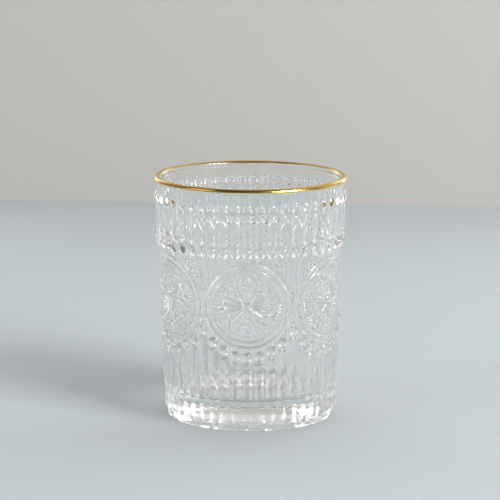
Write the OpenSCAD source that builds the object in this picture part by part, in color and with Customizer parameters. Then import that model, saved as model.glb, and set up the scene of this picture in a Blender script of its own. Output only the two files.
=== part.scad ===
// Pressed glass tumbler with raised medallions, beads and ribs, and a gilded rim.
// Millimetres, +Z up. The origin is the centre of the ring that the glass stands on.
// One medallion faces -Y.

/* [Glass] */
// Outside diameter of the lip
rim_d = 84.2; // [80:0.2:96]
// How far the rounded lip stands out of the wall below it
lip_out = 0.5; // [0:0.05:0.8]
// Outside diameter of the wall at the foot
base_d = 73.4; // [70:0.2:84]
// Height of the glass under its gilding
glass_h = 106.5; // [96:0.1:130]
// Thickness of the lip, which is fully rounded
lip_t = 2.5; // [1.8:0.1:3.4]
// Thickness of the solid glass under the cavity
base_t = 12; // [7:0.5:22]
// Thickness of the wall beside the cavity floor
heel_t = 4.4; // [3:0.1:8]
// Radius of the rounded corner between cavity floor and wall
floor_r = 3; // [2:0.5:12]
// Radius of the rounded edge of the foot
foot_r = 1; // [0.8:0.1:2.4]
// Width of the flat ring that the glass stands on
stand_w = 7; // [3:0.5:14]
// Depth of the hollow under the base
punt_depth = 1.2; // [0.6:0.1:4]

/* [Gilding] */
// Thickness of the gold on the lip
gold_t = 0.2; // [0.1:0.05:0.4]
// Height of the gold on the outside, below the middle of the lip
gold_out_h = 0.5; // [0.2:0.1:0.8]
// Height of the gold on the inside, below the middle of the lip
gold_in_h = 0.2; // [0.1:0.1:3]

/* [Pattern] */
// Number of medallions around the glass
medallions = 6; // [5:1:6]
// Number of ribs, and of beads in a row, for each medallion
ribs_each = 8; // [5:1:8]

/* [Bead rows] */
// Distance from the top of the glass down to the upper row of beads
upper_row_drop = 8.5; // [6.4:0.1:10]
// Radius of a bead of the upper row
upper_bead_r = 2.35; // [1.6:0.05:2.4]
// How far a bead of the upper row stands out of the wall
upper_bead_out = 0.8; // [0.6:0.05:1.5]
// Distance between the upper and the lower row of beads
row_pitch = 19.2; // [17:0.1:24]
// Radius of a bead of the lower row
lower_bead_r = 2.35; // [1.6:0.05:2.4]
// How far a bead of the lower row stands out of the wall
lower_bead_out = 1.45; // [0.6:0.05:1.6]

/* [Ribs] */
// Width of a rib
rib_w = 3.6; // [2.8:0.1:4]
// How far a rib stands out of the wall
rib_out = 0.65; // [0.5:0.05:1]
// Gap between beads and the end of a rib
rib_gap = 0.8; // [0.5:0.1:2]
// Height of the lower end of the ribs over the table
rib_foot_h = 3.2; // [2.8:0.1:8]

/* [Medallions] */
// Outside radius of a medallion
medallion_r = 18.9; // [15:0.1:19.2]
// Gap between the lower row of beads and the medallions
medallion_gap = 2; // [1.2:0.1:5]
// Width of each of the two ridges around a medallion
ridge_w = 0.95; // [0.6:0.05:1.4]
// Width of the channel between the two ridges
channel_w = 1.75; // [1:0.05:3]
// Height of the ridges and the flower above the wall
relief_h = 0.6; // [0.3:0.05:1]
// Number of points of the flower
petals = 18; // [10:1:20]
// Distance from the middle of a medallion to the points of the flower
petal_tip_r = 9.2; // [7:0.1:10]
// Distance from the middle of a medallion to the notches between the points
petal_notch_r = 5.4; // [4:0.1:6.5]
// Radius of the boss in the middle of a medallion
boss_r = 2; // [1.2:0.1:2.5]
// How far the boss stands out of the wall
boss_out = 1.1; // [1:0.05:1.6]

/* [Garlands] */
// Gap between a medallion and the lowest bead under it
garland_gap = 1.4; // [1:0.1:3]
// How far a garland sags between its ends, halfway between two medallions
garland_sag = 11.1; // [9:0.1:14]
// Radius of a bead of the garland
garland_bead_r = 2; // [1.4:0.05:2.1]
// How far a bead of the garland stands out of the wall
garland_bead_out = 1.2; // [0.6:0.05:1.4]

/* [Hidden] */
$fn = 64;

glass_colour = [0.86, 0.91, 0.92, 0.45];
gold_colour = [0.83, 0.66, 0.33];

// Outer wall
rim_r = rim_d / 2;
base_r = base_d / 2;
wall_slope = (rim_r - lip_out - base_r) / glass_h;
wall_lean = atan(wall_slope);
function wall_r(z) = base_r + wall_slope * z;

// Points of an arc about a centre, from one angle to another
arc_steps = 10;
function arc(centre, r, from, to) =
    [for (i = [0 : arc_steps])
        let (a = from + (to - from) * i / arc_steps)
        centre + r * [cos(a), sin(a)]];

// Direction along a wall that leans out by an angle, and the direction that points out of it
function along(lean) = [sin(lean), cos(lean)];
function outward(lean) = [cos(lean), -sin(lean)];

// Lip: a round that stands out of the outer wall and runs into the inner one
lip_r = lip_t / 2;
lip_z = glass_h - lip_r;
lip_centre = [rim_r - lip_r, lip_z];
lip_start = -wall_lean - acos((wall_r(lip_z) - lip_centre.x) * cos(wall_lean) / lip_r);
gold_start = -asin(gold_out_h / lip_r);

// Cavity: its wall touches the rounded floor corner and the rounded lip
corner_z = base_t + floor_r;
corner_centre = [wall_r(corner_z) - heel_t - floor_r, corner_z];
to_lip = lip_centre - corner_centre;
cavity_lean = atan2(to_lip.x, to_lip.y) - asin((floor_r + lip_r) / norm(to_lip));

// Hollow under the base, part of a large ball
stand_r = base_r - foot_r;
punt_r = stand_r - stand_w;
punt_ball_r = (pow(punt_r, 2) + pow(punt_depth, 2)) / (2 * punt_depth);

// Pattern, measured down from the lip and up from the foot
rib_count = medallions * ribs_each;
rib_step = 360 / rib_count;
medallion_step = 360 / medallions;
upper_row_z = glass_h - upper_row_drop;
lower_row_z = upper_row_z - row_pitch;
medallion_z = lower_row_z - lower_bead_r - medallion_gap - medallion_r;
garland_low_z = medallion_z - medallion_r - garland_gap - garland_bead_r;
upper_rib_top_z = upper_row_z - upper_bead_r - rib_gap;
upper_rib_foot_z = lower_row_z + lower_bead_r + rib_gap;
second_ridge_r = medallion_r - ridge_w - channel_w;

// Height of the garlands at an angle around the glass, where each one hangs in a flat curve
function garland_z(angle) =
    let (turn = angle % medallion_step)
    let (from_medallion = min(turn, medallion_step - turn))
    garland_low_z + garland_sag * pow(2 * from_medallion / medallion_step, 2);

// Depth of solid that joins a raised shape to the wall
root_depth = 1.2;
// Height of the straight side of a bead above the wall
bead_side = 0.2;
// Height of the straight side of a rib above the wall
rib_side = 0.3;
// Gap that keeps neighbouring medallions apart inside the wall
medallion_clearance = 0.6;

// Places children on the outer wall, with their Z axis pointing out of the glass
module on_wall(angle, z, out = 0)
    rotate([0, 0, angle - 90])
        translate([wall_r(z), 0, z])
            rotate([0, 90 + wall_lean, 0])
                translate([0, 0, out])
                    children();

// One bead: a low dome on a short round side
module bead(angle, z, r, out) {
    rise = out - bead_side;
    dome_r = (pow(r, 2) + pow(rise, 2)) / (2 * rise);
    on_wall(angle, z)
        rotate_extrude()
            intersection() {
                translate([0, -root_depth])
                    square([r, root_depth + out]);
                translate([0, out - dome_r])
                    circle(dome_r);
            }
}

// Flat bar along Y with round ends
module slot(length, width) {
    square([width, length - width], center = true);
    for (end = [-1, 1])
        translate([0, end * (length - width) / 2])
            circle(width / 2);
}

// One upright rib with round ends, leaning with the wall: a long low dome on a short straight side
module rib(angle, foot_z, top_z) {
    length = (top_z - foot_z) / cos(wall_lean);
    rise = rib_out - rib_side;
    dome_r = (pow(rib_w / 2, 2) + pow(rise, 2)) / (2 * rise);
    dome_length = length - rib_w + 2 * dome_r;
    on_wall(angle, (foot_z + top_z) / 2)
        rotate([0, 0, 90])
            intersection() {
                translate([0, 0, -root_depth])
                    linear_extrude(root_depth + 2 * rib_out)
                        slot(length, rib_w);
                translate([0, 0, rib_out - dome_r])
                    rotate([90, 0, 0])
                        rotate_extrude()
                            intersection() {
                                translate([0, -dome_length / 2])
                                    square([dome_r, dome_length]);
                                slot(dome_length, 2 * dome_r);
                            }
            }
}

// Outside of the glass without its pattern, as a solid
module plain_outside()
    rotate([0, 0, rib_step / 2])
        rotate_extrude()
            polygon(concat(
                [[0, 0]],
                arc([stand_r, foot_r], foot_r, -90, -wall_lean),
                arc(lip_centre, lip_r, lip_start, 90),
                [[0, glass_h]]));

// Inside of the glass, as a solid
module cavity()
    rotate([0, 0, rib_step / 2])
        rotate_extrude()
            polygon(concat(
                [[0, base_t]],
                arc(corner_centre, floor_r, -90, -cavity_lean),
                arc(lip_centre, lip_r, 180 - cavity_lean, 90),
                [[0, glass_h]]));

// Shallow round hollow under the base
module punt()
    translate([0, 0, punt_depth - punt_ball_r])
        sphere(punt_ball_r);

// Thin band that follows the wall, from just under its surface to the top of the relief
module relief_band() {
    low_z = medallion_z - medallion_r - ridge_w;
    high_z = medallion_z + medallion_r + ridge_w;
    rotate([0, 0, rib_step / 2])
        rotate_extrude()
            polygon([
                [wall_r(low_z) - root_depth, low_z],
                [wall_r(low_z) + relief_h, low_z],
                [wall_r(high_z) + relief_h, high_z],
                [wall_r(high_z) - root_depth, high_z]]);
}

// Flat ring
module ring(outer_r, width)
    difference() {
        circle(outer_r);
        circle(outer_r - width);
    }

// Flat flower with pointed petals
module flower()
    polygon([
        for (i = [0 : 2 * petals - 1])
            let (r = i % 2 == 0 ? petal_tip_r : petal_notch_r, a = 180 * i / petals)
            r * [cos(a), sin(a)]]);

// Ridges and flowers of all medallions, wrapped around the wall
module medallion_relief() {
    start = medallion_r / tan(medallion_step / 2) + medallion_clearance;
    intersection() {
        relief_band();
        for (i = [0 : medallions - 1])
            rotate([0, 0, i * medallion_step - 90])
                translate([start, 0, medallion_z])
                    rotate([0, 90, 0])
                        linear_extrude(rim_r)
                            union() {
                                ring(medallion_r, ridge_w);
                                ring(second_ridge_r, ridge_w);
                                flower();
                            }
    }
}

// Two rows of beads with a band of ribs between them
module upper_band()
    for (i = [0 : rib_count - 1]) {
        angle = i * rib_step;
        bead(angle, upper_row_z, upper_bead_r, upper_bead_out);
        bead(angle, lower_row_z, lower_bead_r, lower_bead_out);
        rib(angle, upper_rib_foot_z, upper_rib_top_z);
    }

// Round boss in the middle of each medallion
module bosses()
    for (i = [0 : medallions - 1])
        bead(i * medallion_step, medallion_z, boss_r, boss_out);

// Ribs from the foot up to the garlands, each with a bead of a garland above it
module lower_band()
    for (i = [0 : rib_count - 1]) {
        angle = i * rib_step;
        bead_z = garland_z(angle);
        bead(angle, bead_z, garland_bead_r, garland_bead_out);
        rib(angle, rib_foot_h, bead_z - garland_bead_r - rib_gap);
    }

module glass_body()
    color(glass_colour)
        difference() {
            union() {
                plain_outside();
                medallion_relief();
                upper_band();
                bosses();
                lower_band();
            }
            cavity();
            punt();
        }

// Gold over the lip, from its edge on the outside to its edge on the inner wall
module gold_rim() {
    inner_edge = lip_centre - lip_r * outward(cavity_lean) - gold_in_h * along(cavity_lean);
    color(gold_colour)
        rotate_extrude()
            polygon(concat(
                arc(lip_centre, lip_r, gold_start, 180 - cavity_lean),
                [inner_edge, inner_edge - gold_t * outward(cavity_lean)],
                arc(lip_centre, lip_r + gold_t, 180 - cavity_lean, gold_start)));
}

glass_body();
gold_rim();
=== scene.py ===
"""Dresses the pressed glass tumbler: clear glass with its whole relief, a gilded rim and a plain stage.

Sizes of the glass are in millimetres until a mesh is made, and those of stage, lamps and camera in metres.
Turns are degrees around the glass, counted to the right from the middle of a medallion. The relief repeats
with every medallion, so one sector is meshed and copied around.
"""

import math

import bpy
import numpy as np
from mathutils import Matrix, Vector
from mathutils.geometry import delaunay_2d_cdt


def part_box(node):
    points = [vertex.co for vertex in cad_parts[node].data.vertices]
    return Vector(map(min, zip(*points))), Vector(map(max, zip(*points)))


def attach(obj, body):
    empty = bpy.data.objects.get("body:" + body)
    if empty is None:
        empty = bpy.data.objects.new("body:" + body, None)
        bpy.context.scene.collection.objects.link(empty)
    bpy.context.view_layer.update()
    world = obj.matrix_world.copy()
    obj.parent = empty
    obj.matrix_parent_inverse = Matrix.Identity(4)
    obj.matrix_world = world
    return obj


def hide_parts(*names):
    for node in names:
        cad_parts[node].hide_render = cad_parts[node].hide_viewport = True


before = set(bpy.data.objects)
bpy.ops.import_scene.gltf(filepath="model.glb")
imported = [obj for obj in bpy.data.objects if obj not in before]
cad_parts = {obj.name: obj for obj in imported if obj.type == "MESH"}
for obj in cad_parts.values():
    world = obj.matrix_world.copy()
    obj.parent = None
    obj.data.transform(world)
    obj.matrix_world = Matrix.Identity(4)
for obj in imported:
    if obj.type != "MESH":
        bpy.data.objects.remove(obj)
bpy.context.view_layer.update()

MM = 0.001

# Glass without its pattern
GLASS_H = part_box("glass_body")[1].z / MM
RIM_R = 42.1
BASE_R = 36.7
LIP_R = 1.25
LIP_OUT = 0.5
LIP_FILLET = 0.9
BASE_T = 12.0
HEEL_T = 4.4
FLOOR_R = 3.0
FOOT_R = 1.0
STAND_W = 7.0
STAND_INSET = 0.4
PUNT_DEPTH = 1.2

# Pattern, measured down from the lip and up from the foot
MEDALLIONS = 6
RIBS_EACH = 8
SECTOR = 360 / MEDALLIONS
EDGE = SECTOR / 2
RIB_STEP = SECTOR / RIBS_EACH
UPPER_BEAD_R, UPPER_BEAD_OUT = 2.15, 0.98
LOWER_BEAD_R, LOWER_BEAD_OUT = 2.4, 1.4
LOWER_BEAD_SLIM = 0.88
ROW_DROP, ROW_PITCH = 8.5, 19.2
UPPER_ROW_Z = GLASS_H - ROW_DROP
LOWER_ROW_Z = UPPER_ROW_Z - ROW_PITCH
RIB_HALF_W, RIB_OUT, RIB_SIDE = 1.85, 0.8, 0.12
RIB_GAP = 0.6
RIB_FOOT_Z = 3.2
BAND_GAP = 2.95
BAND_FOOT_Z = LOWER_ROW_Z + LOWER_BEAD_R + RIB_GAP
BAND_TOP_Z = UPPER_ROW_Z - BAND_GAP
MEDALLION_R, MEDALLION_GAP = 18.9, 1.95
MEDALLION_Z = LOWER_ROW_Z - LOWER_BEAD_R - MEDALLION_GAP - MEDALLION_R
GARLAND_BEAD_R, GARLAND_BEAD_OUT, GARLAND_GAP = 2.05, 1.2, 1.35
GARLAND_LOW_Z = MEDALLION_Z - MEDALLION_R - GARLAND_GAP - GARLAND_BEAD_R
GARLAND_SAG = 11.1

# Inside a medallion, from the rim to the middle. A ridge has its radius, half its width and its height
RIDGES = ((18.4, 0.7, 0.42), (15.85, 0.6, 0.36))
STROKES = 60
STROKE_FROM, STROKE_TO, STROKE_HALF_W, STROKE_OUT = 13.35, 14.6, 0.46, 0.28
PETALS = 18
DOT_RING_R, DOT_R, DOT_OUT = 11.4, 1.0, 0.62
PETAL_FROM, PETAL_TO, PETAL_END, PETAL_OUT, PETAL_FILL = 2.9, 7.4, 0.6, 0.46, 0.4
TIP_RING_R, TIP_R, TIP_OUT = 8.5, 0.85, 0.55
BOSS_R, BOSS_OUT = 2.0, 1.1

# Width over which the foot of a raised shape runs into the wall
BLEND = 0.15
FINE_BLEND = 0.16

# Slope of the sides of a rib, and width of the rounding above them
STEEP = 2.0
SHOULDER = 0.1

# Points for the mesh. A ring of a bead or boss has its share of the radius and its count of points, and
# rings of a medallion have their count and their radii. Shares of a ridge or rib are of half its width
BEAD_RINGS = ((0.0, 1), (0.3, 8), (0.55, 12), (0.75, 17), (0.89, 20), (0.97, 22), (1.03, 24), (1.12, 24))
BOSS_RINGS = ((0.0, 1), (0.35, 10), (0.65, 18), (0.88, 24), (1.05, 36))
MEDALLION_RINGS = (
    (90, (2.3, 2.75, 3.2, 3.7)),
    (126, np.arange(4.4, 7.3, 0.7)),
    (162, np.arange(7.5, 9.6, 0.34)),
    (108, (10.0,)),
    (180, np.arange(10.35, 12.6, 0.3)),
    (300, (12.8, 13.1, 13.5, 14.3, 14.75, 15.05)),
)
RIDGE_SHARES = (-1.12, -0.85, -0.45, 0.0, 0.45, 0.85, 1.12)
RIDGE_COUNT = 120
CHANNEL_RADII, CHANNEL_COUNT = (16.75, 17.35), 100
RIB_SHARES = (0.0, 0.4, 0.7, 0.82, 0.89, 0.96, 1.03, 1.12)
RIB_ROW_STEP = 6
RIB_END_STEPS = 8
COLUMNS_EACH = 24
SIDE_ROWS = 60
PLAIN_STEP = 1.6

# Least distances between the points, on the wall rolled out flat, and their distance from the border
FLAT_R = 40.0
CELL = 0.5
PATTERN_GAP = 0.09
PLAIN_GAP = 1.1
SIDE_GAP = 0.2
BORDER_GAP = 0.2
CORNER_GAP = 0.3
INSET_TURN = 0.12
TOUCHING = 1e-6


def wall_radius(z):
    """Radius of the outer wall under its pattern."""
    return BASE_R + (RIM_R - LIP_OUT - BASE_R) * z / GLASS_H


def smooth_max(a, b, blend):
    """The larger of two heights, with a rounded inside corner where they meet."""
    near = np.maximum(blend - np.abs(a - b), 0) / blend
    return np.maximum(a, b) + near * near * blend / 4


def smooth_min(a, b, blend):
    """The smaller of two heights, with a rounded edge where they meet."""
    return -smooth_max(-a, -b, blend)


def cap(distance, radius, height):
    """Height of a round cap at a distance from its middle. Outside its edge it goes on falling."""
    ball = (radius * radius + height * height) / (2 * height)
    inside = np.sqrt(ball * ball - np.minimum(distance, radius) ** 2) - (ball - height)
    slope = radius / (ball - height)
    return inside - slope * np.maximum(distance - radius, 0)


def dome(distance, radius, out, side):
    """Height of a round cap that stands on a steep side."""
    top = side + cap(distance, radius, out - side)
    return smooth_min(top, STEEP * (radius - distance), SHOULDER)


def garland_height(turn):
    """Height of the garland at a turn from the middle of its medallion."""
    return GARLAND_LOW_Z + GARLAND_SAG * (turn / EDGE) ** 2


def rib_top(turn):
    """Upper end of a lower rib, just under the garland."""
    return garland_height(turn) - GARLAND_BEAD_R - RIB_GAP


def rib_relief(across, z, foot, top):
    """Height of an upright rib with round ends: a low dome on steep sides."""
    beyond = np.maximum(np.maximum(foot + RIB_HALF_W - z, z - top + RIB_HALF_W), 0)
    return dome(np.hypot(across, beyond), RIB_HALF_W, RIB_OUT, RIB_SIDE)


def around(angle, count, offset=0.0):
    """Angle in radians from the nearest of a count of evenly spread directions."""
    step = 2 * math.pi / count
    turned = angle - offset * step
    return turned - step * np.round(turned / step)


def medallion_relief(turn, z):
    """Height of the pattern inside a medallion, drawn on a plane in front of the wall."""
    right = wall_radius(z) * np.sin(np.radians(turn))
    up = z - MEDALLION_Z
    rho = np.hypot(right, up)
    phi = np.arctan2(up, right)
    height = cap(rho, BOSS_R, BOSS_OUT)
    for ridge_r, half_w, out in RIDGES:
        height = np.maximum(height, cap(np.abs(rho - ridge_r), half_w, out))
    dot_rings = ((DOT_RING_R, DOT_R, DOT_OUT, 0.5), (TIP_RING_R, TIP_R, TIP_OUT, 0.0))
    for ring_r, dot_r, out, offset in dot_rings:
        apart = around(phi, PETALS, offset)
        distance = np.sqrt(rho**2 + ring_r**2 - 2 * rho * ring_r * np.cos(apart))
        height = np.maximum(height, cap(distance, dot_r, out))
    aside = rho * np.abs(np.sin(around(phi, STROKES)))
    beyond = np.maximum(np.maximum(STROKE_FROM - rho, rho - STROKE_TO), 0)
    height = np.maximum(height, cap(np.hypot(aside, beyond), STROKE_HALF_W, STROKE_OUT))
    half_w = PETAL_FILL * 2 * math.pi / PETALS * np.clip(rho, PETAL_FROM, PETAL_TO)
    aside = rho * np.abs(np.sin(around(phi, PETALS)))
    beyond = np.maximum(np.maximum(PETAL_FROM - rho, rho - PETAL_TO), 0)
    share = np.hypot(aside / half_w, beyond / PETAL_END)
    return smooth_max(height, PETAL_OUT * (1 - share * share), FINE_BLEND)


def relief(turn, z):
    """Height of the whole pattern above the outer wall."""
    radius = wall_radius(z)
    rib = RIB_STEP * np.round(turn / RIB_STEP)
    across = radius * np.radians(turn - rib)
    height = cap(np.hypot(across, z - UPPER_ROW_Z), UPPER_BEAD_R, UPPER_BEAD_OUT)
    away = np.hypot(across / LOWER_BEAD_SLIM, z - LOWER_ROW_Z)
    height = np.maximum(height, cap(away, LOWER_BEAD_R, LOWER_BEAD_OUT))
    height = smooth_max(height, rib_relief(across, z, BAND_FOOT_Z, BAND_TOP_Z), BLEND)
    height = smooth_max(height, rib_relief(across, z, RIB_FOOT_Z, rib_top(rib)), BLEND)
    away = np.hypot(across, z - garland_height(rib))
    height = smooth_max(height, cap(away, GARLAND_BEAD_R, GARLAND_BEAD_OUT), BLEND)
    height = smooth_max(height, 0 * height, BLEND)
    return smooth_max(height, medallion_relief(turn, z), FINE_BLEND)


def outer_surface(turn, z):
    """Points of the outer wall of the first sector, and the directions that point out of it."""
    step = 0.01

    def radius(t, h):
        return wall_radius(h) + relief(t, h)

    r = radius(turn, z)
    turn_step = math.degrees(step / RIM_R)
    by_turn = (radius(turn + turn_step, z) - radius(turn - turn_step, z)) / (2 * math.radians(turn_step))
    by_z = (radius(turn, z + step) - radius(turn, z - step)) / (2 * step)
    a = np.radians(turn - 90)
    out = np.stack([np.cos(a), np.sin(a), 0 * a], axis=1)
    side = np.stack([-np.sin(a), np.cos(a), 0 * a], axis=1)
    normal = out - side * (by_turn / r)[:, None]
    normal[:, 2] -= by_z
    points = out * r[:, None]
    points[:, 2] = z
    return points, normal / np.linalg.norm(normal, axis=1)[:, None]


# Points on the wall where the mesh follows the pattern, as pairs of turn and height
def ring_points(turn, z, radii_and_counts, slim):
    """Round or upright oval rings of points around a point of the wall."""
    found = []
    for radius, count in radii_and_counts:
        for i in range(count):
            a = math.pi / 2 + 2 * math.pi * i / count
            h = z + radius * math.sin(a)
            found.append((turn + math.degrees(slim * radius * math.cos(a) / wall_radius(h)), h))
    return found


def bead_points(turn, z, radius, slim=1.0):
    return ring_points(turn, z, [(radius * share, count) for share, count in BEAD_RINGS], slim)


def rib_points(turn, foot, top):
    rows = np.linspace(foot + RIB_HALF_W, top - RIB_HALF_W, 2 + int((top - foot) / RIB_ROW_STEP))
    found = []
    for z in rows:
        for share in RIB_SHARES:
            for side in (-1, 1):
                found.append((turn + side * math.degrees(share * RIB_HALF_W / wall_radius(z)), z))
    for end, z in ((-1, rows[0]), (1, rows[-1])):
        for share in RIB_SHARES[1:]:
            for i in range(1, RIB_END_STEPS):
                a = math.pi * i / RIB_END_STEPS
                h = z + end * share * RIB_HALF_W * math.sin(a)
                found.append((turn + math.degrees(share * RIB_HALF_W * math.cos(a) / wall_radius(h)), h))
    return found


def medallion_points():
    rings = [(BOSS_R * share, count) for share, count in BOSS_RINGS]
    for count, radii in MEDALLION_RINGS:
        rings += [(rho, count) for rho in radii]
    for ridge_r, half_w, _ in RIDGES:
        rings += [(ridge_r + half_w * share, RIDGE_COUNT) for share in RIDGE_SHARES]
    rings += [(rho, CHANNEL_COUNT) for rho in CHANNEL_RADII]
    found = []
    for rho, count in rings:
        for i in range(count):
            a = 2 * math.pi * i / count
            z = MEDALLION_Z + rho * math.sin(a)
            found.append((math.degrees(math.asin(rho * math.cos(a) / wall_radius(z))), z))
    return found


def pattern_points():
    found = medallion_points()
    for k in range(-RIBS_EACH // 2, RIBS_EACH // 2 + 1):
        turn = k * RIB_STEP
        found += bead_points(turn, UPPER_ROW_Z, UPPER_BEAD_R)
        found += bead_points(turn, LOWER_ROW_Z, LOWER_BEAD_R, LOWER_BEAD_SLIM)
        found += rib_points(turn, BAND_FOOT_Z, BAND_TOP_Z)
        found += rib_points(turn, RIB_FOOT_Z, rib_top(turn))
        found += bead_points(turn, garland_height(turn), GARLAND_BEAD_R)
    return found


def plain_points(low, high):
    """A coarse grid for the stretches with no pattern."""
    rows = int((high - low) / PLAIN_STEP)
    return [
        (-EDGE + SECTOR * i / COLUMNS_EACH, low + (high - low) * k / rows)
        for k in range(1, rows)
        for i in range(1, COLUMNS_EACH)
    ]


def rolled_out(turn, z):
    """Place of a point on the wall rolled out flat."""
    return FLAT_R * math.radians(turn), z


class Sieve:
    """Keeps points that lie a gap or more from those kept before, on the wall rolled out flat."""

    def __init__(self):
        self.kept = []
        self.cells = {}

    def add(self, turn, z, gap):
        x, y = rolled_out(turn, z)
        cx, cy = int(x // CELL), int(y // CELL)
        reach = int(gap // CELL) + 1
        for i in range(cx - reach, cx + reach + 1):
            for k in range(cy - reach, cy + reach + 1):
                for px, py in self.cells.get((i, k), ()):
                    if (px - x) ** 2 + (py - y) ** 2 < gap * gap:
                        return
        self.cells.setdefault((cx, cy), []).append((x, y))
        self.kept.append((turn, z))


def sector_mesh(low, high):
    """Triangles over one sector. Its first points are its border, from the lower left to the right."""
    pattern = pattern_points()
    on_side = [z for turn, z in pattern if abs(turn - EDGE) < TOUCHING]
    on_side = sorted(z for z in on_side if low + CORNER_GAP < z < high - CORNER_GAP)
    on_side += list(np.linspace(low, high, SIDE_ROWS)[1:-1])
    side = Sieve()
    for z in [low, high] + on_side:
        side.add(EDGE, z, SIDE_GAP)
    side_z = sorted(z for _, z in side.kept)[1:-1]
    turns = [-EDGE + SECTOR * i / COLUMNS_EACH for i in range(COLUMNS_EACH + 1)]
    border = [(t, low) for t in turns] + [(EDGE, z) for z in side_z]
    border += [(t, high) for t in reversed(turns)] + [(-EDGE, z) for z in reversed(side_z)]
    sieve = Sieve()
    for turn, z in border:
        sieve.add(turn, z, 0.0)
    for turn, z in pattern:
        if abs(turn) < EDGE - INSET_TURN and low + BORDER_GAP < z < high - BORDER_GAP:
            sieve.add(turn, z, PATTERN_GAP)
    for turn, z in plain_points(low, high):
        sieve.add(turn, z, PLAIN_GAP)
    flat = [Vector(rolled_out(turn, z)) for turn, z in sieve.kept]
    loop = list(range(len(border)))
    triangles = delaunay_2d_cdt(flat, [], [loop], 1, TOUCHING)[2]
    return np.array(sieve.kept), triangles, len(side_z)


def arc(centre, radius, start, end, steps):
    """Points of an arc in the plane of radius and height, with the directions out of its middle."""
    angles = np.radians(np.linspace(start, end, steps + 1))
    ways = np.stack([np.cos(angles), np.sin(angles)], axis=1)
    return [(tuple(np.array(centre) + radius * way), tuple(way)) for way in ways]


# Rings of the floor, as shares of its radius
FLOOR_SHARES = (0.95, 0.75, 0.5, 0.25)


class Profile:
    """Arcs and lines of the glass in the plane of radius and height."""

    def __init__(self):
        self.lean = math.atan((RIM_R - LIP_OUT - BASE_R) / GLASS_H)
        lip_z = GLASS_H - LIP_R
        self.lip = (RIM_R - LIP_R, lip_z)
        corner_z = BASE_T + FLOOR_R
        self.corner = (wall_radius(corner_z) - HEEL_T - FLOOR_R, corner_z)
        to_lip = (self.lip[0] - self.corner[0], self.lip[1] - self.corner[1])
        self.inner_lean = math.atan2(*to_lip) - math.asin((FLOOR_R + LIP_R) / math.hypot(*to_lip))
        self.wall_low = FOOT_R - FOOT_R * math.sin(self.lean)
        out = np.array([math.cos(self.lean), -math.sin(self.lean)])
        up = np.array([math.sin(self.lean), math.cos(self.lean)])
        aside = (wall_radius(lip_z) - self.lip[0]) * math.cos(self.lean) + LIP_FILLET
        below = math.sqrt((LIP_R + LIP_FILLET) ** 2 - aside**2)
        self.fillet = np.array(self.lip) + aside * out - below * up
        self.fillet_turn = math.degrees(math.atan2(below, aside))
        self.wall_high = (self.fillet - LIP_FILLET * out)[1]

    def under(self):
        """From the middle of the base out to the lower edge of the wall, without both ends."""
        stand_r = BASE_R - FOOT_R
        punt_r = stand_r - STAND_W
        ball = (punt_r**2 + PUNT_DEPTH**2) / (2 * PUNT_DEPTH)
        half = math.degrees(math.asin(punt_r / ball))
        hollow = arc((0, PUNT_DEPTH - ball), ball, 90, 90 - half, steps=10)[1:]
        rows = [(point, (-way[0], -way[1])) for point, way in hollow]
        rows += [((punt_r + outward, 0.0), (0, -1)) for outward in (STAND_INSET, STAND_W / 2)]
        rows += arc((stand_r, FOOT_R), FOOT_R, -90, -math.degrees(self.lean), steps=8)[:-1]
        return rows

    def inside(self):
        """From the upper edge of the wall over the lip to the middle of the floor, without both ends."""
        inner = math.degrees(self.inner_lean)
        start = 180 - math.degrees(self.lean)
        fillet = arc(self.fillet, LIP_FILLET, start, start - self.fillet_turn, steps=6)[1:-1]
        rows = [(point, (-way[0], -way[1])) for point, way in fillet]
        rows += arc(self.lip, LIP_R, start - self.fillet_turn - 180, 180 - inner, steps=18)
        top = np.array(rows[-1][0])
        way = (-math.cos(self.inner_lean), math.sin(self.inner_lean))
        corner = arc(self.corner, FLOOR_R, -inner, -90, steps=10)
        foot = np.array(corner[0][0])
        steps = 10
        rows += [(tuple(top + (foot - top) * k / steps), way) for k in range(1, steps)]
        rows += [(point, (-w[0], -w[1])) for point, w in corner]
        reach = self.corner[0]
        rows += [((reach * share, BASE_T), (0, 1)) for share in FLOOR_SHARES]
        return rows


class Builder:
    """Collects points, their directions and faces, and makes one mesh of them."""

    def __init__(self):
        self.points, self.normals, self.faces = [], [], []

    def add(self, point, normal):
        self.points.append(point)
        self.normals.append(normal)
        return len(self.points) - 1

    def add_turned(self, place, way, turn):
        """A point with a radius and a height, at a turn around the glass."""
        a = math.radians(turn - 90)
        c, s = math.cos(a), math.sin(a)
        return self.add((place[0] * c, place[0] * s, place[1]), (way[0] * c, way[0] * s, way[1]))

    def row(self, place, way, turns):
        """A ring of points at one radius and height."""
        return [self.add_turned(place, way, turn) for turn in turns]

    def strip(self, lower, upper):
        """Faces between two rings."""
        count = len(lower)
        for i in range(count):
            k = (i + 1) % count
            self.faces.append((lower[i], lower[k], upper[k], upper[i]))

    def fan(self, ring, tip, flip):
        """Faces between a ring and the point in its middle."""
        count = len(ring)
        for i in range(count):
            k = (i + 1) % count
            self.faces.append((ring[k], ring[i], tip) if flip else (ring[i], ring[k], tip))

    def piece(self, name, material):
        mesh = bpy.data.meshes.new(name)
        mesh.from_pydata([tuple(MM * c for c in p) for p in self.points], [], self.faces)
        mesh.polygons.foreach_set("use_smooth", [True] * len(mesh.polygons))
        mesh.normals_split_custom_set_from_vertices([tuple(n) for n in self.normals])
        mesh.materials.append(material)
        made = bpy.data.objects.new(name, mesh)
        bpy.context.scene.collection.objects.link(made)
        return made


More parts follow.
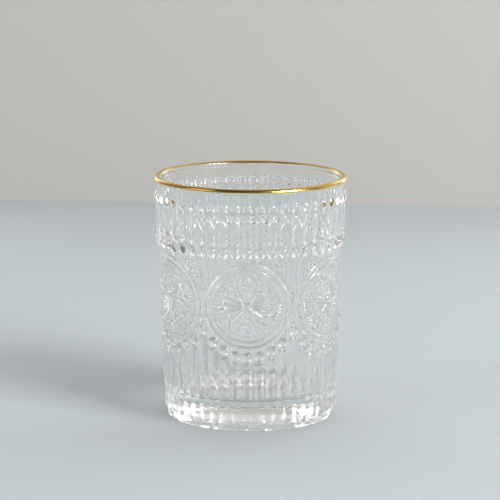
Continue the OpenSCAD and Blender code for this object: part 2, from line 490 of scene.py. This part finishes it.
def add_wall(builder, low, high):
    """The outer wall: a sector for each medallion, joined to the one before. Returns its two edges."""
    places, triangles, side_count = sector_mesh(low, high)
    points, normals = outer_surface(places[:, 0], places[:, 1])
    right = list(range(COLUMNS_EACH, COLUMNS_EACH + side_count + 2))
    top_left = right[-1] + COLUMNS_EACH
    left = [0] + [top_left + 1 + i for i in reversed(range(side_count))] + [top_left]
    last_right, first_left = [], []
    bottom, top = [], []
    for k in range(MEDALLIONS):
        turn = math.radians(k * SECTOR)
        c, s = math.cos(turn), math.sin(turn)
        spin = np.array([[c, -s, 0], [s, c, 0], [0, 0, 1]])
        spun, spun_normals = points @ spin.T, normals @ spin.T
        index = {}
        if k > 0:
            index.update(zip(left, last_right))
        if k == MEDALLIONS - 1:
            index.update(zip(right, first_left))
        for local in range(len(points)):
            if local not in index:
                index[local] = builder.add(tuple(spun[local]), tuple(spun_normals[local]))
        if k == 0:
            first_left = [index[local] for local in left]
        last_right = [index[local] for local in right]
        builder.faces += [tuple(index[local] for local in triangle) for triangle in triangles]
        bottom += [index[i] for i in range(COLUMNS_EACH)]
        top += [index[top_left - i] for i in range(COLUMNS_EACH)]
    return bottom, top


def build_glass(material):
    """The whole glass as one closed skin."""
    profile = Profile()
    builder = Builder()
    bottom, top = add_wall(builder, profile.wall_low, profile.wall_high)
    turns = [-EDGE + SECTOR * i / COLUMNS_EACH for i in range(COLUMNS_EACH * MEDALLIONS)]
    upper = bottom
    for place, way in reversed(profile.under()):
        lower = builder.row(place, way, turns)
        builder.strip(lower, upper)
        upper = lower
    builder.fan(upper, builder.add((0, 0, PUNT_DEPTH), (0, 0, -1)), flip=True)
    lower = top
    for place, way in profile.inside():
        upper = builder.row(place, way, turns)
        builder.strip(lower, upper)
        lower = upper
    builder.fan(lower, builder.add((0, 0, BASE_T), (0, 0, 1)), flip=False)
    return builder.piece("glass", material)


# Gilding
GOLD_T = 0.14
GOLD_SINK = 0.03
GOLD_EDGE_T = 0.03
GOLD_OUT_Z = -0.1
GOLD_IN_Z = 0.75
OUT_WANDER, IN_WANDER = 0.14, 0.1
GOLD_COLUMNS = 288
GOLD_STEPS = 22


def wander(turn, size, seed):
    """A slow uneven wave around the rim, as a brush leaves it."""
    a = math.radians(turn)
    waves = ((3, 0.35), (7, 0.3), (13, 0.2), (29, 0.15))
    return size * sum(share * math.sin(n * a + seed * n) for n, share in waves)


def build_gold(material):
    """Gold over the lip. Its inner skin lies just inside the glass, and shows through the wall."""
    lip = np.array(Profile().lip)
    builder = Builder()
    rings = []
    for column in range(GOLD_COLUMNS):
        turn = 360 * column / GOLD_COLUMNS
        start = math.degrees(math.asin((GOLD_OUT_Z + wander(turn, OUT_WANDER, seed=1.0)) / LIP_R))
        end = 180 - math.degrees(math.asin((GOLD_IN_Z + wander(turn, IN_WANDER, seed=2.0)) / LIP_R))
        ways = [np.array(way) for _, way in arc((0, 0), 1.0, start, end, GOLD_STEPS)]
        thick = [GOLD_EDGE_T] + [GOLD_T] * (GOLD_STEPS - 1) + [GOLD_EDGE_T]
        skin = [(lip + way * (LIP_R + t), way) for way, t in zip(ways, thick)]
        skin += [(lip + way * (LIP_R - GOLD_SINK), -way) for way in reversed(ways)]
        rings.append([builder.add_turned(place, way, turn) for place, way in skin])
    count = len(rings[0])
    for column in range(GOLD_COLUMNS):
        here, there = rings[column], rings[(column + 1) % GOLD_COLUMNS]
        for i in range(count):
            k = (i + 1) % count
            builder.faces.append((here[i], there[i], there[k], here[k]))
    return builder.piece("gold_band", material)


# Materials
def new_material(name):
    material = bpy.data.materials.new(name)
    material.use_nodes = True
    nodes = material.node_tree.nodes
    nodes.clear()
    return material, nodes, material.node_tree.links


def noise(nodes, links, scale, detail=2.0):
    """Noise in the frame's own metres."""
    place = nodes.new("ShaderNodeTexCoord")
    texture = nodes.new("ShaderNodeTexNoise")
    texture.inputs["Scale"].default_value = scale
    texture.inputs["Detail"].default_value = detail
    links.new(place.outputs["Object"], texture.inputs["Vector"])
    return texture


def spread(nodes, links, socket, low, high):
    """Maps a value from 0 to 1 onto a range."""
    node = nodes.new("ShaderNodeMapRange")
    node.inputs["To Min"].default_value = low
    node.inputs["To Max"].default_value = high
    links.new(socket, node.inputs["Value"])
    return node.outputs["Result"]


def roughen(nodes, links, surface, height, strength, distance):
    """Bumps a surface by a height."""
    bump = nodes.new("ShaderNodeBump")
    bump.inputs["Strength"].default_value = strength
    bump.inputs["Distance"].default_value = distance
    links.new(height, bump.inputs["Height"])
    links.new(bump.outputs["Normal"], surface.inputs["Normal"])


def output_mix(nodes, links, choice, first, second):
    """Shows the first shader where the choice is 0 and the second where it is 1."""
    mix = nodes.new("ShaderNodeMixShader")
    links.new(choice, mix.inputs["Fac"])
    links.new(first.outputs["BSDF"], mix.inputs[1])
    links.new(second.outputs["BSDF"], mix.inputs[2])
    output = nodes.new("ShaderNodeOutputMaterial")
    links.new(mix.outputs["Shader"], output.inputs["Surface"])


# Share of the light that each surface lets through to the table, by its height in millimetres: all of it
# in the base, less at the very foot and least in the wall
SHADES = ((0.0, 0.9), (0.25, 0.9), (0.9, 1.0), (12.0, 1.0), (24.0, 0.8))


def glass_material():
    """Clear fire-polished glass, with the slight waviness that a mould leaves."""
    material, nodes, links = new_material("clear_glass")
    surface = nodes.new("ShaderNodeBsdfPrincipled")
    surface.inputs["Base Color"].default_value = (0.992, 0.997, 0.995, 1)
    surface.inputs["Transmission Weight"].default_value = 1.0
    surface.inputs["IOR"].default_value = 1.5
    wave = noise(nodes, links, scale=160.0)
    roughness = spread(nodes, links, wave.outputs["Fac"], low=0.0, high=0.01)
    links.new(roughness, surface.inputs["Roughness"])
    roughen(nodes, links, surface, wave.outputs["Fac"], strength=0.05, distance=0.0002)
    through = nodes.new("ShaderNodeBsdfTransparent")
    place = nodes.new("ShaderNodeTexCoord")
    split = nodes.new("ShaderNodeSeparateXYZ")
    height = nodes.new("ShaderNodeMapRange")
    height.inputs["From Max"].default_value = SHADES[-1][0] * MM
    shade = nodes.new("ShaderNodeValToRGB")
    stops = shade.color_ramp.elements
    while len(stops) < len(SHADES):
        stops.new(0.5)
    for stop, (z, level) in zip(stops, SHADES):
        stop.position = z / SHADES[-1][0]
        stop.color = (level, level, level, 1)
    links.new(place.outputs["Object"], split.inputs["Vector"])
    links.new(split.outputs["Z"], height.inputs["Value"])
    links.new(height.outputs["Result"], shade.inputs["Fac"])
    links.new(shade.outputs["Color"], through.inputs["Color"])
    path = nodes.new("ShaderNodeLightPath")
    output_mix(nodes, links, path.outputs["Is Shadow Ray"], surface, through)
    return material


def gold_material():
    """Bright fired gold, brushed on by hand."""
    material, nodes, links = new_material("gilding")
    surface = nodes.new("ShaderNodeBsdfPrincipled")
    surface.inputs["Metallic"].default_value = 1.0
    grain = noise(nodes, links, scale=900.0, detail=4.0)
    cloud = noise(nodes, links, scale=90.0, detail=3.0)
    ramp = nodes.new("ShaderNodeValToRGB")
    ramp.color_ramp.elements[0].position = 0.3
    ramp.color_ramp.elements[0].color = (0.62, 0.39, 0.08, 1)
    ramp.color_ramp.elements[1].position = 0.7
    ramp.color_ramp.elements[1].color = (0.84, 0.57, 0.16, 1)
    links.new(cloud.outputs["Fac"], ramp.inputs["Fac"])
    links.new(ramp.outputs["Color"], surface.inputs["Base Color"])
    roughness = spread(nodes, links, grain.outputs["Fac"], low=0.14, high=0.3)
    links.new(roughness, surface.inputs["Roughness"])
    roughen(nodes, links, surface, grain.outputs["Fac"], strength=0.15, distance=0.0001)
    output = nodes.new("ShaderNodeOutputMaterial")
    links.new(surface.outputs["BSDF"], output.inputs["Surface"])
    return material


def matt_material(name, colour, one_sided=False):
    """Plain matt surface for the table and the wall. A one-sided one isn't there when seen from behind."""
    material, nodes, links = new_material(name)
    surface = nodes.new("ShaderNodeBsdfPrincipled")
    surface.inputs["Base Color"].default_value = (*colour, 1)
    surface.inputs["Roughness"].default_value = 0.75
    surface.inputs["Specular IOR Level"].default_value = 0.0
    if one_sided:
        side = nodes.new("ShaderNodeNewGeometry")
        through = nodes.new("ShaderNodeBsdfTransparent")
        output_mix(nodes, links, side.outputs["Backfacing"], surface, through)
    else:
        output = nodes.new("ShaderNodeOutputMaterial")
        links.new(surface.outputs["BSDF"], output.inputs["Surface"])
    return material


# Stage
TABLE_COLOUR = (0.585, 0.64, 0.66)
WALL_COLOUR = (0.55, 0.537, 0.521)
WALL_Y = 0.55
WALL_TURN = -2.4
STAGE_W = 6.0
TABLE_DROP = 0.00005


def stage_plane(name, corners, material):
    mesh = bpy.data.meshes.new(name)
    mesh.from_pydata(corners, [], [(0, 1, 2, 3)])
    mesh.materials.append(material)
    made = bpy.data.objects.new(name, mesh)
    bpy.context.scene.collection.objects.link(made)


def build_stage():
    half = STAGE_W / 2
    low = -TABLE_DROP
    floor = [(-half, -half, low), (half, -half, low), (half, half, low), (-half, half, low)]
    stage_plane("table", floor, matt_material("table", TABLE_COLOUR))
    aside = half * math.tan(math.radians(WALL_TURN))
    left_y, right_y = WALL_Y - aside, WALL_Y + aside
    wall = [(-half, left_y, low), (half, right_y, low), (half, right_y, half), (-half, left_y, half)]
    stage_plane("wall", wall, matt_material("wall", WALL_COLOUR, one_sided=True))


# Lamps. The azimuth goes to the right from the side that the first medallion faces, and the aim is a height
LAMPS = (
    # name, azimuth, elevation, distance, aim, width, height, watts, spread, colour
    ("key", 50, 32, 2.6, 0.05, 1.04, 1.2, 82.0, 180, (1.0, 0.98, 0.96)),
    ("fill", -65, 35, 1.4, 0.05, 0.7, 0.7, 2.2, 180, (0.95, 0.98, 1.0)),
    ("rear_right", 150, 20, 0.6, 0.08, 0.22, 0.4, 0.13, 110, (1.0, 1.0, 1.0)),
    ("rear_left", -147, 20, 0.6, 0.08, 0.22, 0.4, 0.13, 110, (1.0, 1.0, 1.0)),
)


def build_lamp(name, azimuth, elevation, distance, aim, width, height, watts, spread_angle, colour):
    lamp = bpy.data.lights.new(name, "AREA")
    lamp.shape = "RECTANGLE"
    lamp.size, lamp.size_y = width, height
    lamp.energy = watts
    lamp.color = colour
    lamp.spread = math.radians(spread_angle)
    a, e = math.radians(azimuth), math.radians(elevation)
    place = distance * Vector((math.sin(a) * math.cos(e), -math.cos(a) * math.cos(e), math.sin(e)))
    made = bpy.data.objects.new(name, lamp)
    made.location = place
    made.rotation_euler = (Vector((0, 0, aim)) - place).to_track_quat("-Z", "Y").to_euler()
    made.visible_camera = False
    bpy.context.scene.collection.objects.link(made)


# Light of the room, as pairs of place and level: it falls from the horizon up, and is less in front
ROOM_COLOUR = (0.93, 0.97, 1.0)
ROOM_LOW, ROOM_HIGH = (0.1, 0.4), (0.45, 0.08)
ROOM_FRONT, ROOM_BACK = (-0.9, 0.75), (-0.2, 1.0)


def room_level(nodes, links, socket, start, end):
    """A smooth step between two pairs of place and level."""
    step = nodes.new("ShaderNodeMapRange")
    step.interpolation_type = "SMOOTHSTEP"
    step.inputs["From Min"].default_value, step.inputs["To Min"].default_value = start
    step.inputs["From Max"].default_value, step.inputs["To Max"].default_value = end
    links.new(socket, step.inputs["Value"])
    return step.outputs["Result"]


def build_room():
    world = bpy.data.worlds.new("room")
    bpy.context.scene.world = world
    world.use_nodes = True
    nodes, links = world.node_tree.nodes, world.node_tree.links
    back = nodes["Background"]
    back.inputs["Color"].default_value = (*ROOM_COLOUR, 1)
    place = nodes.new("ShaderNodeTexCoord")
    split = nodes.new("ShaderNodeSeparateXYZ")
    links.new(place.outputs["Generated"], split.inputs["Vector"])
    level = nodes.new("ShaderNodeMath")
    level.operation = "MULTIPLY"
    links.new(room_level(nodes, links, split.outputs["Z"], ROOM_LOW, ROOM_HIGH), level.inputs[0])
    links.new(room_level(nodes, links, split.outputs["Y"], ROOM_FRONT, ROOM_BACK), level.inputs[1])
    links.new(level.outputs["Value"], back.inputs["Strength"])


# Surfaces that a ray may meet on its way
BOUNCES = 32


def set_paths():
    """Lets light pass through all the walls of the glass, without caustics."""
    paths = bpy.context.scene.cycles
    paths.max_bounces = BOUNCES
    paths.glossy_bounces = BOUNCES
    paths.transmission_bounces = BOUNCES
    paths.caustics_refractive = False
    paths.caustics_reflective = False


# Camera, as fitted to the photograph's frame of 500 by 500 pixels
FRAME_PX = 500
FOCAL_PX = 2603.0
SENSOR = 36.0
CAMERA_DISTANCE = 1.1266
CAMERA_HEIGHT = 0.2855
CAMERA_AZIMUTH = 1.7
CAMERA_PITCH = 10.682
CAMERA_ROLL = 0.15
CAMERA_SHIFT_PX = -0.45
CAMERA_FAR = 20.0


def build_camera():
    data = bpy.data.cameras.new("camera")
    data.sensor_width = SENSOR
    data.lens = FOCAL_PX / FRAME_PX * SENSOR
    data.shift_x = CAMERA_SHIFT_PX / FRAME_PX
    data.clip_end = CAMERA_FAR
    made = bpy.data.objects.new("camera", data)
    turn = Matrix.Rotation(math.radians(CAMERA_AZIMUTH), 4, "Z")
    place = Matrix.Translation((0, -CAMERA_DISTANCE, CAMERA_HEIGHT))
    tilt = Matrix.Rotation(math.radians(90 - CAMERA_PITCH), 4, "X")
    roll = Matrix.Rotation(math.radians(CAMERA_ROLL), 4, "Z")
    made.matrix_world = turn @ place @ tilt @ roll
    bpy.context.scene.collection.objects.link(made)
    bpy.context.scene.camera = made


build_camera()
build_stage()
for lamp_values in LAMPS:
    build_lamp(*lamp_values)
build_room()
set_paths()

glass = build_glass(glass_material())
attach(glass, "root")
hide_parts("glass_body")

gold = build_gold(gold_material())
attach(gold, "root")
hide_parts("gold_rim")

bpy.context.scene.view_settings.view_transform = "Standard"
